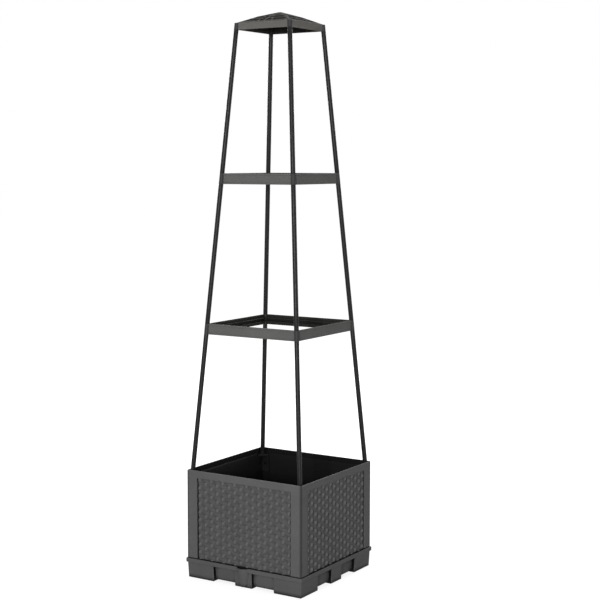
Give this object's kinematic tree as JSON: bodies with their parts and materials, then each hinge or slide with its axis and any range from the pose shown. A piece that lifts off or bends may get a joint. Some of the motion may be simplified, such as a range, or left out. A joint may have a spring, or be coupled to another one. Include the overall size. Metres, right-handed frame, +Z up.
{
  "type": "planter with climbing cage",
  "caption": "Square self-watering planter box with woven-pattern walls, a footed water tray with a filling spout, and a tapering climbing cage of leaning poles, rings and a lattice cap.",
  "frame": {"origin": "on the ground under the cage's axis, at the middle of the tray's centre foot", "axes": "+Z up along the cage's axis, -Y toward the filling spout, +X to the right of it"},
  "size_m": [0.292, 0.3, 1.1947],
  "materials": {
    "tray_plastic": "satin moulded",
    "panel_plastic": "matt moulded wicker relief",
    "inner_plastic": "matt moulded",
    "cage_plastic": "satin moulded",
    "pole_coating": "satin plastic coat on steel tube"
  },
  "bodies": {
    "planter": {"water_tray": "tray_plastic", "drain_floor": "inner_plastic", "wick_cup_back_right": "inner_plastic", "wick_cup_back_left": "inner_plastic", "wick_cup_front_left": "inner_plastic", "wick_cup_front_right": "inner_plastic", "front_panel": "panel_plastic", "right_panel": "panel_plastic", "back_panel": "panel_plastic", "left_panel": "panel_plastic", "corner_bracket_back_right": "inner_plastic", "corner_bracket_back_left": "inner_plastic", "corner_bracket_front_left": "inner_plastic", "corner_bracket_front_right": "inner_plastic"},
    "lower_tier": {"lower_pole_back_right": "pole_coating", "lower_pole_back_left": "pole_coating", "lower_pole_front_left": "pole_coating", "lower_pole_front_right": "pole_coating", "lower_ring": "cage_plastic"},
    "middle_tier": {"middle_pole_back_right": "pole_coating", "middle_pole_back_left": "pole_coating", "middle_pole_front_left": "pole_coating", "middle_pole_front_right": "pole_coating", "upper_ring": "cage_plastic"},
    "upper_tier": {"upper_pole_back_right": "pole_coating", "upper_pole_back_left": "pole_coating", "upper_pole_front_left": "pole_coating", "upper_pole_front_right": "pole_coating"},
    "cap": {"top_cap": "cage_plastic"}
  },
  "joints": [
    {"name": "cage_lift", "type": "slide", "parent": "planter", "child": "lower_tier", "axis": [0, 0, 1], "range_m": [0, 0.06]},
    {"name": "middle_lift", "type": "slide", "parent": "lower_tier", "child": "middle_tier", "axis": [0, 0, 1], "range_m": [0, 0.04]},
    {"name": "upper_lift", "type": "slide", "parent": "middle_tier", "child": "upper_tier", "axis": [0, 0, 1], "range_m": [0, 0.04]},
    {"name": "cap_lift", "type": "slide", "parent": "upper_tier", "child": "cap", "axis": [0, 0, 1], "range_m": [0, 0.04]}
  ]
}
